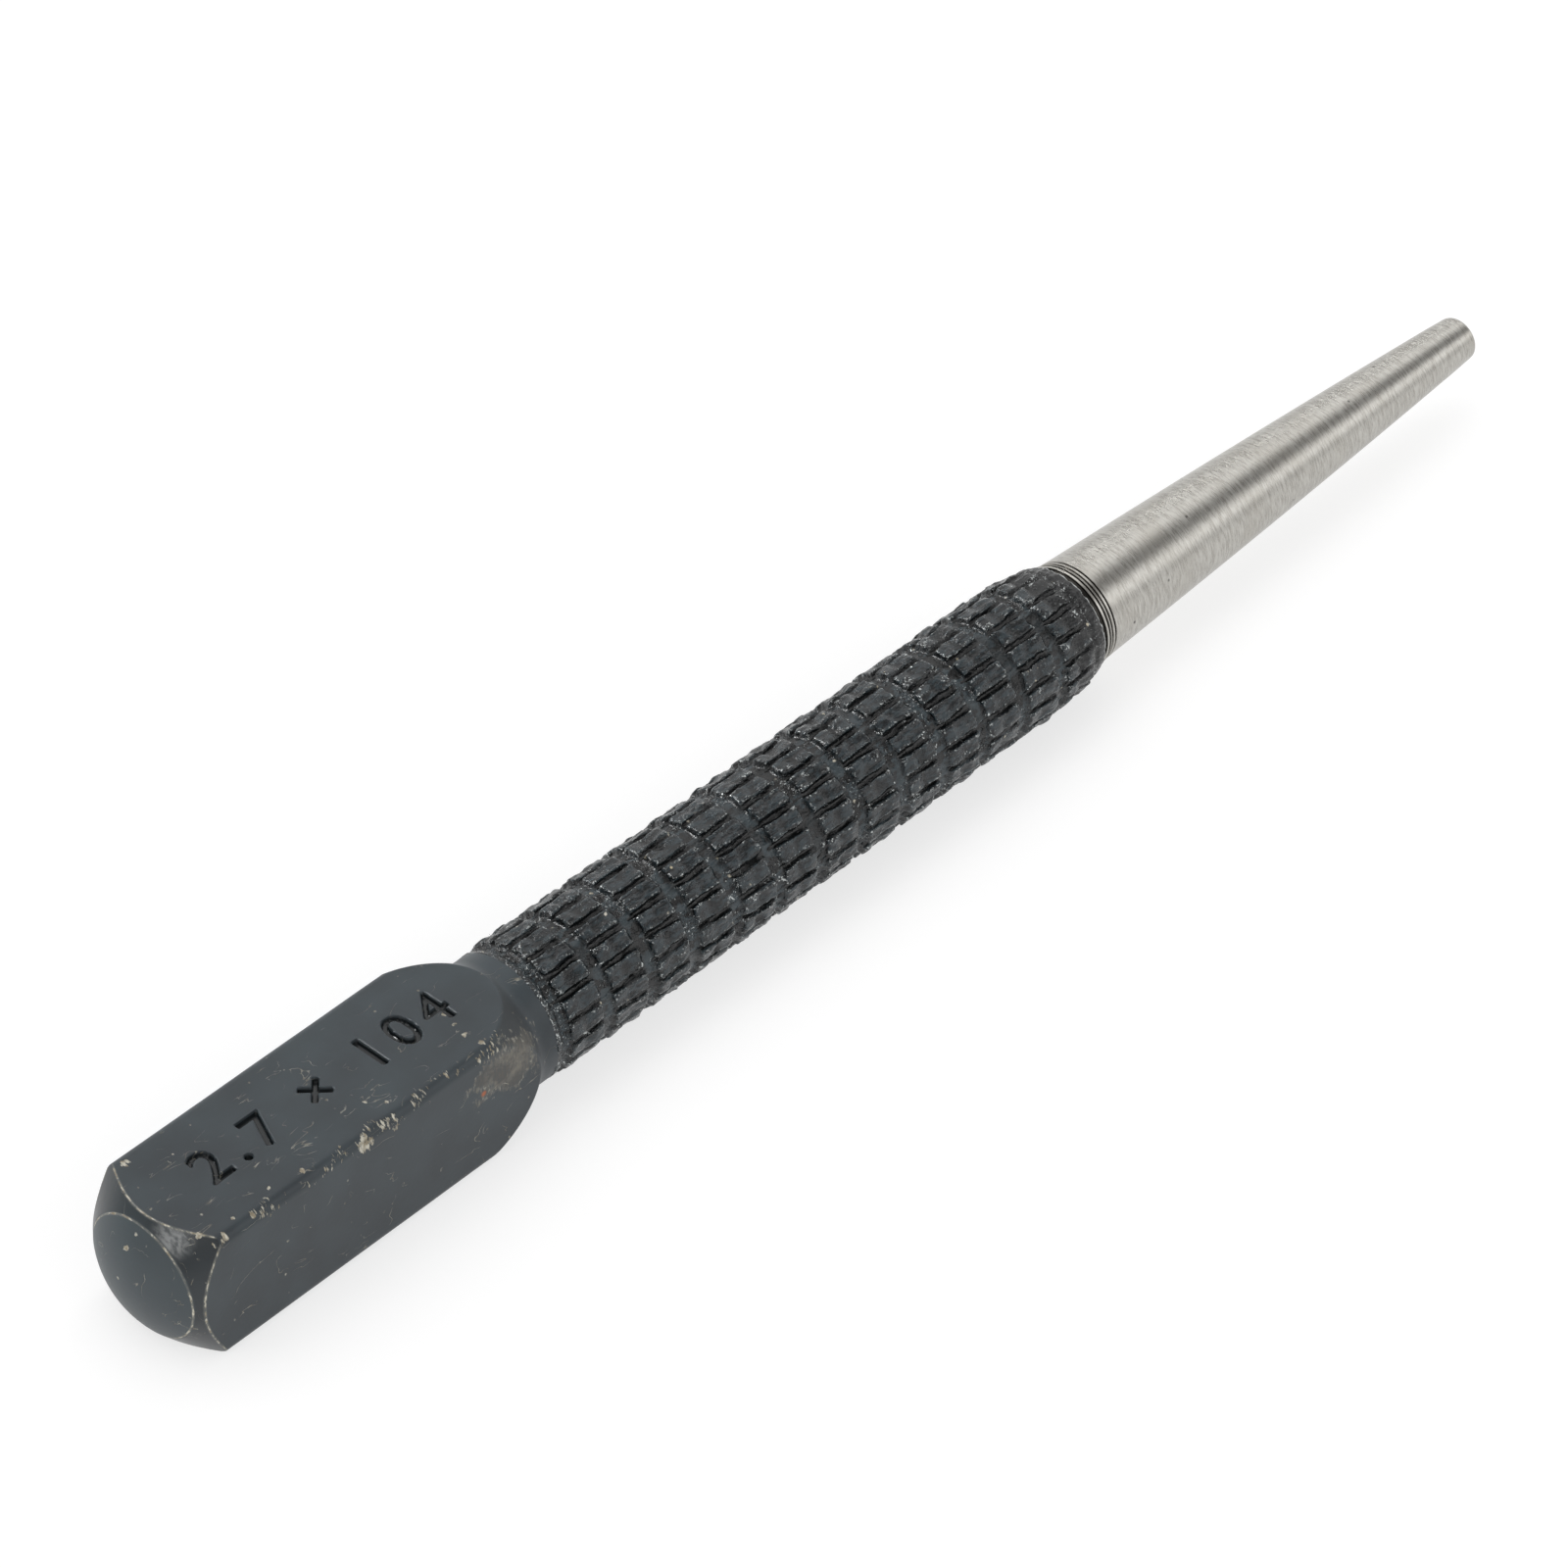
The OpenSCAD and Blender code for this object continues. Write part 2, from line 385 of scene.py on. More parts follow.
# The roller tears the middle of a pad, so its top is dented there
pick(row, "verts", lambda vert: vert.co.z > crest_z - 0.01 and abs(vert.co.x - pad_mid_x) < PAD_DENT_REACH)
bpy.ops.transform.translate(value=(0, 0, -PAD_DENT))
bpy.ops.object.mode_set(mode="OBJECT")
print(f"pad {pad_len:.2f} x {pad_w:.2f} mm, {len(row.data.polygons)} faces")

# %% [markdown]
# ## One row of pads
#
# The pads of a row stand on a low rib, whose top is the floor of the ring grooves. On the real tool the
# roller runs off the bar at the far end, where the grip draws in, so the last pad and its rib are tipped
# down about their near end.

# %% Lay a row of pads on its rib
RIB_START = 0.35  # from the neck

work(row, "ARRAY", count=BANDS, use_relative_offset=False, use_constant_offset=True,
     constant_offset_displace=(BAND_PITCH, 0, 0))
rib = block("rib", knurl_x + RIB_START, lip_x, pad_w, flute_floor_r - PAD_ROOT, rib_top_r)
pick(rib, "edges", lambda edge: abs(edge.verts[0].co.x - edge.verts[1].co.x) > HEAD_W)
bpy.ops.mesh.subdivide(number_cuts=100)
bpy.ops.object.mode_set(mode="OBJECT")
take(row)
rib.select_set(True)
bpy.ops.object.join()

# Over its last band the grip draws in towards the bright steel
run_out = math.atan2(LAST_BAND_DROP, lip_x - last_band_x)
pick(row, "verts", lambda vert: vert.co.x > last_band_x - 0.01)
bpy.ops.transform.rotate(value=-run_out, orient_axis="Y", center_override=(last_band_x, 0, crest_z))
bpy.ops.object.mode_set(mode="OBJECT")
ends = [vert.co for vert in row.data.vertices if vert.co.x > lip_x - 0.5]
print("the last pad's end tops out at", round(max(co.z for co in ends) - AXIS_Z, 2), "mm from the axis")

# %% [markdown]
# ## Eighteen rows round a core
#
# The core is a turned bar up to the floor of the axial grooves. It carries the lip where the paint stops,
# and it runs on into the neck, so that the knurl starts out of solid metal there. The rows sink into it,
# which leaves no gaps.

# %% Copy the row round the core
LIP_LEN = 0.85
LIP_ROOT_R = 3.44
LIP_R = 3.52
PAINT_EDGE_R = 3.4
paint_x = lip_x + LIP_LEN

rows = []
for i in range(ROWS):
    take(row)
    bpy.ops.object.duplicate()
    copy = bpy.context.object
    bpy.ops.object.mode_set(mode="EDIT")
    bpy.ops.mesh.select_all(action="SELECT")
    bpy.ops.transform.rotate(value=math.tau * i / ROWS, orient_axis="X", center_override=(0, 0, AXIS_Z))
    bpy.ops.object.mode_set(mode="OBJECT")
    rows.append(copy)
bpy.data.objects.remove(row)
take(rows[0])
for copy in rows[1:]:
    copy.select_set(True)
bpy.ops.object.join()
grip = rows[0]
work(grip, "DISPLACE", texture=clouds("uneven_pads", 0.9), strength=0.24, mid_level=0.55,
     direction="RGB_TO_XYZ")

core_outline = [(knurl_x - OVERRUN, 0), (knurl_x - OVERRUN, NECK_R), (knurl_x + 0.3, NECK_R),
                (knurl_x + 0.5, flute_floor_r), (last_band_x, flute_floor_r), (lip_x - 0.1, LIP_ROOT_R),
                (lip_x + 0.2, LIP_R), (paint_x - 0.1, PAINT_EDGE_R + 0.03), (paint_x, PAINT_EDGE_R - 0.05),
                (paint_x, 0)]
core = turned("grip_core", core_outline, steps=144)
take(grip)
core.select_set(True)
bpy.ops.object.join()
print("rows and core:", len(grip.data.polygons), "faces")

# %% [markdown]
# ## Paint in the knurl
#
# Thick paint fills the corners of a knurl and leaves burrs standing. Rebuilding the rows and the core
# from small cells fuses them into one skin, and one smoothing pass fills the corners. Two noises then
# move that skin. The first is read through an empty that is stretched along the tool, so its lumps are
# long, as the marks of the roller are. The second is finer, and roughens what is left.

# %% Flood the knurl with paint
GRIP_GRAIN = 0.075
MARK_STRETCH = 5  # length of a roller mark, over its width

work(grip, "REMESH", mode="VOXEL", voxel_size=GRIP_GRAIN)
work(grip, "SMOOTH", factor=0.5, iterations=1)
bpy.ops.object.select_all(action="DESELECT")
bpy.ops.object.empty_add(location=(0, 0, 0))
stretch = bpy.context.object
stretch.scale = (MARK_STRETCH, 1, 1)
work(grip, "DISPLACE", texture=clouds("roller_marks", 0.36), texture_coords="OBJECT",
     texture_coords_object=stretch, strength=0.25, mid_level=0.55, direction="NORMAL")
bpy.data.objects.remove(stretch)
work(grip, "DISPLACE", texture=clouds("rough_paint", 0.3), strength=0.1, mid_level=0.5, direction="NORMAL")
print("grip:", triangles(grip), "triangles")

# %% [markdown]
# ## Fine rings next to the paint
#
# The paint stops at a few fine grooves that the turning tool left at the thick end of the taper. Dark
# residue stays in them, so they show as thin black lines between bright ones, and the widest lies against
# the paint. They are drawn into the outline that is turned, which costs a few points for each and needs
# no cutting.

# %% Turn the fine rings next to the paint
FINE_RINGS = 3
RINGS_ON_SHANK = 2
FINE_DEPTH = 0.09
RING_STEP = (shank_x - paint_x) / FINE_RINGS
ring_r = SHANK_R + 0.05


def fine_groove(start, r):
    """The outline of one fine groove, which takes up one ring step."""
    return [(start + 0.15 * RING_STEP, r), (start + 0.25 * RING_STEP, r - FINE_DEPTH),
            (start + 0.55 * RING_STEP, r - FINE_DEPTH), (start + 0.65 * RING_STEP, r)]


# The first groove, next to the paint, takes up most of the first two steps
fine = [(paint_x - OVERRUN, 0), (paint_x - OVERRUN, ring_r - FINE_DEPTH),
        (paint_x + 1.5 * RING_STEP, ring_r - FINE_DEPTH), (paint_x + 1.65 * RING_STEP, ring_r)]
for i in range(2, FINE_RINGS):
    fine += fine_groove(paint_x + i * RING_STEP, ring_r)
fine += [(shank_x, SHANK_R), (shank_x, 0)]
collar_rings = turned("collar_rings", fine, steps=128)
print(f"rings: {RINGS_ON_SHANK + 2} grooves, the first one wide, {RING_STEP:.2f} mm apart")

# %% [markdown]
# ## The taper and the tip
#
# The taper is ground from the collar to the tip. It isn't a straight cone but swells by a tenth of a
# millimetre over its length, which gives the reflections on it their slight bow. The tip is the part that
# wears: its edge is rounded over, and a shallow round cup in its end keeps it on a nail's head.

# %% Turn the taper and the tip
TAPER_SWELL = 0.09
TIP_EDGE_R = 0.3
CUP_R = 0.8
CUP_DEPTH = 0.4
taper_len = end_x - shank_x


def taper_radius(x):
    """The taper is a straight cone with a slight swell, highest in the middle."""
    share = (x - shank_x) / taper_len
    return SHANK_R + (TIP_R - SHANK_R) * share + 4 * TAPER_SWELL * share * (1 - share)


plain_x = shank_x + RINGS_ON_SHANK * RING_STEP
stations = [plain_x + (tip_x - plain_x) * i / 24 for i in range(25)]
shank_outline = [(shank_x, 0), (shank_x, SHANK_R)]
for i in range(RINGS_ON_SHANK):
    shank_outline += fine_groove(shank_x + i * RING_STEP, taper_radius(shank_x + i * RING_STEP))
shank_outline += [(x, taper_radius(x)) for x in stations] + [(tip_x, 0)]
shank = turned("shank", shank_outline, steps=128)
cup_ball_r = (CUP_R ** 2 + CUP_DEPTH ** 2) / (2 * CUP_DEPTH)
tip_outline = [(tip_x, 0), (tip_x, TIP_BASE_R)]
tip_outline += arc(end_x - TIP_EDGE_R, TIP_R - TIP_EDGE_R, TIP_EDGE_R, 0, math.pi / 2, 6)
cup_turn = math.asin(CUP_R / cup_ball_r)
cup = [(end_x - CUP_DEPTH + cup_ball_r * (1 - math.cos(turn)), cup_ball_r * math.sin(turn))
       for turn in [cup_turn * (1 - i / 6) for i in range(7)]]
tip = turned("tip", tip_outline + cup, steps=96)
print(f"taper {taper_len:.1f} mm long, tip {2 * TIP_R:.1f} mm wide")

# %% [markdown]
# ## From blanks to pieces
#
# Each zone is a copy of its blank, sawn at the stations of its plain solid. The cut faces are closed, so
# every piece is a solid of its own and meets its neighbour on the same section.

# %% Saw the blanks into pieces
PIECE_LIMIT = 195000


def sawn(blank, name, start, stop):
    """Copies the part of a blank between two stations."""
    take(blank)
    bpy.ops.object.duplicate()
    piece = bpy.context.object
    piece.name = piece.data.name = name
    if start is not None:
        saw(piece, start, "after")
    if stop is not None:
        saw(piece, stop, "before")
    if triangles(piece) > PIECE_LIMIT:
        work(piece, "DECIMATE", ratio=PIECE_LIMIT / triangles(piece))
    return piece


face_piece = sawn(head, "hammer_face", None, face_x)
bar_piece = sawn(head, "square_bar", face_x, flats_x)
ogive_piece = sawn(head, "rounded_shoulder", flats_x, neck_x)
neck_piece = sawn(head, "neck_ring", neck_x, knurl_x)
grip_piece = sawn(grip, "knurled_sleeve", knurl_x, lip_x)
lip_piece = sawn(grip, "painted_lip", lip_x, None)
for blank in (head, grip):
    bpy.data.objects.remove(blank)

# %% [markdown]
# ## Materials: what they share
#
# Every finish below is made of nodes alone, and reads the place of each point in millimetres from the
# tool's axis. So a pattern's scale can be written as it is on the real tool, and a mask can ask how far a
# point is from an edge. Colours are written as a screen shows them, and one function turns them into the
# linear values that light works with.

# %% Helpers for every material
SMOOTH = {"interpolation_type": "SMOOTHSTEP"}
COLOURS = {"out": 2, "data_type": "RGBA"}  # a Mix node takes its two colours at sockets 6 and 7


def linear(code):
    """An sRGB hex colour as linear RGBA."""
    parts = [int(code[i:i + 2], 16) / 255 for i in (1, 3, 5)]
    return [part / 12.92 if part <= 0.04045 else ((part + 0.055) / 1.055) ** 2.4 for part in parts] + [1.0]


def put(tree, kind, *wires, out=0, into=None, **settings):
    """Adds a node with its settings. Links or values go into its sockets, and one output comes back."""
    node = tree.nodes.new("ShaderNode" + kind)
    for setting, value in settings.items():
        setattr(node, setting, value)
    for socket, source in list(enumerate(wires)) + list((into or {}).items()):
        if isinstance(source, bpy.types.NodeSocket):
            tree.links.new(source, node.inputs[socket])
        elif source is not None:
            node.inputs[socket].default_value = source
    return node.outputs[out]


def new_material(name):
    """A material, its tree and shader, and each point's place, x, y, z and radius in mm from the axis."""
    material = bpy.data.materials.new(name)
    material.use_nodes = True
    tree = material.node_tree
    place = put(tree, "Mapping", put(tree, "TexCoord", out=3), (0, 0, -AXIS_Z), (0, 0, 0), (1 / MM,) * 3)
    x = put(tree, "SeparateXYZ", place)
    y, z = x.node.outputs[1], x.node.outputs[2]
    across = put(tree, "VectorMath", put(tree, "CombineXYZ", 0.0, y, z), out=1, operation="LENGTH")
    return material, tree, tree.nodes["Principled BSDF"], place, x, y, z, across


# %% [markdown]
# ## Satin enamel on the head
#
# The head is dipped in a slate grey enamel. It dries satin, with the faint orange peel of a thick film,
# and it chips first where the steel under it is sharp. Blender can't know where a hammer or a toolbox
# rubs, but the tool's shape says it well enough: exposure is 1 on the turned edges of the flats, less
# along the long edges, and 0 in the middle of a flat. A noise about as coarse as a chip then decides
# where the film has gone.

# %% Measure how exposed each point of the head is
enamel, tree, shader, place, x, y, z, across = new_material("satin_enamel_on_forged_steel")
side = put(tree, "Math", y, operation="ABSOLUTE")
rise = put(tree, "Math", z, operation="ABSOLUTE")
corner = put(tree, "Math", side, rise, operation="ADD")
widest = put(tree, "Math", side, rise, operation="MAXIMUM")

# Distance along the tool from the chamfer's cone: 0 on the cone, and more on the flats behind it
cone_x = put(tree, "Math", across, math.tan(CHAMFER), rim_x - RIM_R * math.tan(CHAMFER),
             operation="MULTIPLY_ADD")
behind = put(tree, "Math", x, cone_x, operation="SUBTRACT")
on_cone_edge = put(tree, "Math",
                   put(tree, "MapRange", behind, 0.02, 0.13, 1.0, 0.0, **SMOOTH),
                   put(tree, "MapRange", widest, AXIS_Z - 0.13, AXIS_Z - 0.04, **SMOOTH),
                   operation="MULTIPLY")
from_rim = put(tree, "VectorMath", put(tree, "CombineXYZ", x, across, 0.0), (rim_x, RIM_R, 0), out=1,
               operation="DISTANCE")
on_rim = put(tree, "MapRange", from_rim, 0.03, 0.13, 0.86, 0.0, **SMOOTH)

# The long edge between the upper and the right flat is the one that the hand and the bench wear most
upper_right = put(tree, "Math", z, y, operation="SUBTRACT")
on_worn_edge = put(tree, "MapRange", upper_right, 6.7, 7.5, 0.0, 0.64, **SMOOTH)
on_long_edge = put(tree, "MapRange", corner, 7.3, 7.6, 0.0, 0.5, **SMOOTH)
clumps = put(tree, "TexNoise", place, into={"Scale": 0.62, "Detail": 1.0})
worn_edge = put(tree, "Math", on_worn_edge,
                put(tree, "MapRange", clumps, 0.42, 0.6, 0.6, 1.25, **SMOOTH),
                operation="MULTIPLY")
KNOCKS = [(-48.7, -3.8, 3.8, 0.6), (-48.6, 3.2, 3.9, 0.6), (-39.3, -3.95, 3.5, 1.15), (-37.3, -4, 3.2, 0.5),
          (-49.5, -2.9, 3.9, 0.4), (-49.9, -3.0, 3.1, 0.3), (-46.7, -3.7, 3.9, 0.5), (-47.6, -3.3, 4, 0.3),
          (-45, -3.1, 4, 0.3), (-43.1, -3.4, 4, 0.4), (-37.6, -2.2, 4, 0.3), (-36.9, -3, 4, 0.3),
          (-30.5, -0.6, 4, 0.35), (-30.7, -1.5, 4, 0.3), (-30.9, -2.4, 4, 0.35), (-30.7, -3.4, 4, 0.4),
          (-51.6, 0.3, 2.3, 0.5), (-51.6, 0.9, -0.3, 0.35)]  # x, y, z and reach
exposure = on_cone_edge
for more in (on_rim, worn_edge, on_long_edge):
    exposure = put(tree, "Math", exposure, more, operation="MAXIMUM")
for *knock, reach in KNOCKS:
    away = put(tree, "VectorMath", place, knock, out=1, operation="DISTANCE")
    near = put(tree, "MapRange", away, 0.2 * reach, reach, 1.05, 0.0, **SMOOTH)
    exposure = put(tree, "Math", exposure, near, operation="MAXIMUM")
print("exposure of the head, with", len(KNOCKS), "knocks")

# %% Chip the paint where it is exposed
CHIP_GRAIN = 2.9  # lumps per mm, so chips are 0.1 to 0.5 mm wide
stretched = put(tree, "Mapping", place, into={"Scale": (2.2, 0.7, 0.7)})  # chips run across the edge
chip_noise = put(tree, "TexNoise", stretched, into={"Scale": CHIP_GRAIN, "Detail": 4.0, "Roughness": 0.62})
loss = put(tree, "Math", exposure, 0.5, chip_noise, operation="MULTIPLY_ADD")
chipped = put(tree, "MapRange", loss, 0.93, 0.99, **SMOOTH)
speck_cell = put(tree, "Math", chip_noise, 0.25, put(tree, "TexVoronoi", place, into={"Scale": 0.9}),
                 operation="MULTIPLY_ADD")
speck_gate = put(tree, "TexNoise", place, into={"Scale": 0.23, "Detail": 2.0})
speck = put(tree, "Math",
            put(tree, "MapRange", speck_cell, 0.14, 0.21, 1.0, 0.0, **SMOOTH),
            put(tree, "MapRange", speck_gate, 0.42, 0.56, 0.1, 0.8, **SMOOTH),
            operation="MULTIPLY")
print("chips and specks:", len(tree.nodes), "nodes so far")

# %% Scratch it, and bare what is under the film
# Hair scratches lie where one noise crosses its middle value, and another noise breaks them up
wander = put(tree, "TexNoise", put(tree, "Mapping", place, into={"Scale": (0.5, 1.3, 1.0)}),
             into={"Scale": 0.55, "Detail": 3.0, "Distortion": 0.6})
broken = put(tree, "TexNoise", place, into={"Scale": 0.8, "Detail": 1.0})
scratch = put(tree, "Math", put(tree, "Math", wander, 0.5, 0.0035, operation="COMPARE"),
              put(tree, "MapRange", broken, 0.52, 0.62, 0.0, 0.45), operation="MULTIPLY")
scraped = put(tree, "Math", speck, scratch, operation="MAXIMUM")
scraped = put(tree, "Math", chipped, scraped, operation="MAXIMUM")
under = put(tree, "TexNoise", place, into={"Scale": 3.1, "Detail": 2.0})
bared = put(tree, "Mix", put(tree, "MapRange", under, 0.4, 0.6), **COLOURS,
            into={6: linear("#857b66"), 7: linear("#c4c0b1")})

# The film is thin along the turned edges, where a fine grey line shows even between the chips
thin = put(tree, "MapRange", from_rim, 0.02, 0.1, 1.0, 0.0, **SMOOTH)
thin = put(tree, "Math", thin, on_cone_edge, operation="MAXIMUM")
thin = put(tree, "Math", thin, put(tree, "MapRange", chip_noise, 0.38, 0.55, 0.3, 0.85),
           operation="MULTIPLY")
print("scratches and thin edges:", len(tree.nodes), "nodes so far")

# %% Rub one patch of the right flat down to the primer
PATCH_MIDDLE = (-29.4, -4.0, 1.9)
RUST_SPOT = (-31.2, -4.0, 1.2)

patch = put(tree, "VectorMath", place, PATCH_MIDDLE, operation="SUBTRACT")
patch = put(tree, "VectorMath", patch, (0.42, 0.3, 0.62), operation="MULTIPLY")
ragged = put(tree, "TexNoise", place, into={"Scale": 0.9, "Detail": 5.0, "Roughness": 0.65})
from_patch = put(tree, "Math", put(tree, "VectorMath", patch, out=1, operation="LENGTH"),
                 put(tree, "MapRange", ragged, 0.3, 0.7, -0.5, 0.5), operation="ADD")
in_patch = put(tree, "MapRange", from_patch, 0.4, 1.15, 0.8, 0.0, **SMOOTH)
in_patch = put(tree, "Math", in_patch, put(tree, "MapRange", chip_noise, 0.4, 0.6, 0.55, 1.0),
               operation="MULTIPLY")
patch_rim = put(tree, "Math", from_patch, 0.9, 0.13, operation="COMPARE")
patch_line = put(tree, "Math", patch_rim, put(tree, "MapRange", chip_noise, 0.47, 0.62, 0.0, 0.35),
                 operation="MULTIPLY")
from_rust = put(tree, "VectorMath", place, RUST_SPOT, out=1, operation="DISTANCE")
rust = put(tree, "MapRange", from_rust, 0.06, 0.24, 0.9, 0.0, **SMOOTH)
print("patch round", PATCH_MIDDLE, "and rust at", RUST_SPOT)

# %% Colour of the film on the head, with painted shade on its turned zones
cloudy = put(tree, "TexNoise", place, into={"Scale": 0.28, "Detail": 3.0})
film = put(tree, "Mix", put(tree, "MapRange", cloudy, 0.35, 0.65), **COLOURS,
           into={6: linear("#272e33"), 7: linear("#30393e")})
on_chamfer = put(tree, "Math",
                 put(tree, "MapRange", behind, 0.0, 0.05, 1.0, 0.0),
                 put(tree, "MapRange", across, RIM_R + 0.02, RIM_R + 0.12), operation="MULTIPLY")
on_shoulder = put(tree, "MapRange", x, flats_x + 1.5, flats_x + 3.5, 0.0, 0.6)
for within in (put(tree, "MapRange", widest, AXIS_Z - 0.14, AXIS_Z - 0.06, 1.0, 0.0),
               put(tree, "MapRange", x, neck_x - 0.8, neck_x, 1.0, 0.0)):
    on_shoulder = put(tree, "Math", on_shoulder, within, operation="MULTIPLY")
# Painted shade: the chamfer and the turned shoulder get a darker film than the flats, for the shade and the
# dark reflections that fall on them
shade_on_turned = put(tree, "Math", put(tree, "Math", on_chamfer, 0.85, operation="MULTIPLY"), on_shoulder,
                operation="MAXIMUM")
film = put(tree, "Mix", shade_on_turned, **COLOURS, into={6: film, 7: linear("#171a1c")})
print("film, darker on the turned zones:", len(tree.nodes), "nodes so far")

# %% Dull the dome, paint dust and a reflection on the chamfer, and fill the strokes
DUST_AND_SHEEN_SPOT = (-50.05, -1.75, 3.5)

# The hammer has dulled the dome to a lighter grey. One patch of the chamfer is painted pale grey: dust, and
# a painted reflection of the card in front of the face
on_dome = put(tree, "Math", put(tree, "MapRange", across, RIM_R - 0.06, RIM_R, 1.0, 0.0),
              put(tree, "MapRange", x, rim_x, rim_x + 0.1, 0.5, 0.0), operation="MULTIPLY")
film = put(tree, "Mix", on_dome, **COLOURS, into={6: film, 7: linear("#464f53")})
from_dust_and_sheen = put(tree, "VectorMath", place, DUST_AND_SHEEN_SPOT, out=1, operation="DISTANCE")
dust_and_sheen = put(tree, "Math", put(tree, "MapRange", from_dust_and_sheen, 0.4, 1.4, 1.0, 0.0, **SMOOTH),
           put(tree, "MapRange", chip_noise, 0.4, 0.58, 0.3, 1.0), operation="MULTIPLY")
dust_and_sheen = put(tree, "Math", dust_and_sheen, on_chamfer, operation="MULTIPLY")
film = put(tree, "Mix", dust_and_sheen, **COLOURS, into={6: film, 7: linear("#a4a6a5")})

# The film is thick and dark in the pressed strokes of the upper flat
stroke = put(tree, "MapRange", z, AXIS_Z - 0.2, AXIS_Z - 0.05, 1.0, 0.0, **SMOOTH)
for within in (put(tree, "MapRange", side, 1.9, 2.3, 1.0, 0.0),
               put(tree, "MapRange", x, flats_x + 4.4, flats_x + 4.7, 1.0, 0.0),
               put(tree, "MapRange", x, face_x, face_x + 0.3),
               put(tree, "MapRange", z, 3.0, 3.2)):
    stroke = put(tree, "Math", stroke, within, operation="MULTIPLY")
film = put(tree, "Mix", stroke, **COLOURS, into={6: film, 7: linear("#14191b")})
print("dome, dust and strokes:", len(tree.nodes), "nodes so far")

# %% Lay the wear over the film, and set its gloss
primer = put(tree, "Mix", put(tree, "MapRange", ragged, 0.4, 0.62), **COLOURS,
             into={6: linear("#4b463e"), 7: linear("#8b8475")})
worn = put(tree, "Mix", in_patch, **COLOURS, into={6: film, 7: primer})
worn = put(tree, "Mix", thin, **COLOURS, into={6: worn, 7: linear("#84847c")})
worn = put(tree, "Mix", put(tree, "Math", scraped, patch_line, operation="MAXIMUM"), **COLOURS,
           into={6: worn, 7: bared})
worn = put(tree, "Mix", rust, **COLOURS, into={6: worn, 7: linear("#a4562a")})
gloss = put(tree, "Math", on_chamfer, stroke, operation="MAXIMUM")
rough = put(tree, "MapRange", gloss, 0.0, 1.0, 0.46, 0.22)
peel = put(tree, "TexNoise", place, into={"Scale": 3.5, "Detail": 2.0})  # orange peel, lumps of 0.3 mm
peel_bump = put(tree, "Bump", into={"Strength": 0.25, "Distance": 0.02 * MM, "Height": peel})
chip_bump = put(tree, "Bump", into={"Strength": 0.7, "Distance": 0.05 * MM, "Normal": peel_bump,
                                    "Height": put(tree, "Math", 1.0, scraped, operation="SUBTRACT")})
for socket, source in {"Base Color": worn, "Roughness": rough, "Normal": chip_bump}.items():
    tree.links.new(source, shader.inputs[socket])
shader.inputs["Specular IOR Level"].default_value = 0.5
print("enamel:", len(tree.nodes), "nodes")

# %% [markdown]
# ## Wet-looking enamel on the grip
#
# The same dip runs off the pads and stays in the grooves, so the grip looks wetter and blacker than the
# head. The film is rough where the roller left a burr, at the crossings and next to the neck, and those
# spots glitter. So the roughness of the film is one mask, and it drives a bump whose lumps are about 0.15
# mm wide.

# %% Find the pads, the rings and the rough spots of the grip
wet, tree, shader, place, x, y, z, across = new_material("gloss_enamel_on_knurled_steel")
on_pad = put(tree, "MapRange", across, crest_r - 0.18, crest_r - 0.08, **SMOOTH)

# How far a point is from the middle of its band's ring groove, along the tool
in_band = put(tree, "Math", x, knurl_x, operation="SUBTRACT")
in_band = put(tree, "Math", in_band, BAND_PITCH, operation="FLOORED_MODULO")
from_ring = put(tree, "Math", in_band, RING_MID, operation="SUBTRACT")
from_ring = put(tree, "Math", from_ring, operation="ABSOLUTE")
in_ring = put(tree, "MapRange", from_ring, RING_FLOOR_W / 2, RING_W / 2, 1.0, 0.0)

groove_shade = put(tree, "MapRange", across, flute_floor_r, rib_top_r, 1.0, 0.0, **SMOOTH)
patches = put(tree, "TexNoise", place, into={"Scale": 0.55, "Detail": 2.0})
by_neck = put(tree, "MapRange", x, knurl_x + 0.8, knurl_x + 1.4, 0.75, 0.0)
rough_zone = put(tree, "MapRange", patches, 0.51, 0.6, **SMOOTH)
rough_zone = put(tree, "Math", rough_zone, put(tree, "MapRange", in_ring, 0, 1, 0.2, 1.0),
                 operation="MULTIPLY")
rough_zone = put(tree, "Math", rough_zone, by_neck, operation="MAXIMUM")
print("grip masks:", len(tree.nodes), "nodes")

# %% Colour the film on the grip
burr = put(tree, "TexNoise", place, into={"Scale": 7.0, "Detail": 2.0, "Roughness": 0.7})

# The roller's marks run along the tool
streaks_place = put(tree, "Mapping", place, into={"Scale": (0.35, 1.0, 1.0)})
streaks = put(tree, "TexNoise", streaks_place, into={"Scale": 4.0, "Detail": 2.0, "Roughness": 0.6})
pad_film = put(tree, "Mix", put(tree, "MapRange", streaks, 0.42, 0.6), **COLOURS,
               into={6: linear("#0a0f12"), 7: linear("#253035")})
floor_film = put(tree, "Mix", put(tree, "MapRange", patches, 0.4, 0.5), **COLOURS,
                 into={6: linear("#161d20"), 7: linear("#2e393e")})
# Painted shade: below the pads' tops and outside the ring floors the film is near black, and it is blackest
# down in the axial grooves
film = put(tree, "Mix", in_ring, **COLOURS, into={6: linear("#080b0d"), 7: floor_film})
film = put(tree, "Mix", on_pad, **COLOURS, into={6: film, 7: pad_film})
film = put(tree, "Mix", groove_shade, **COLOURS, into={6: film, 7: linear("#050708")})
print("film on the grip:", len(tree.nodes), "nodes so far")
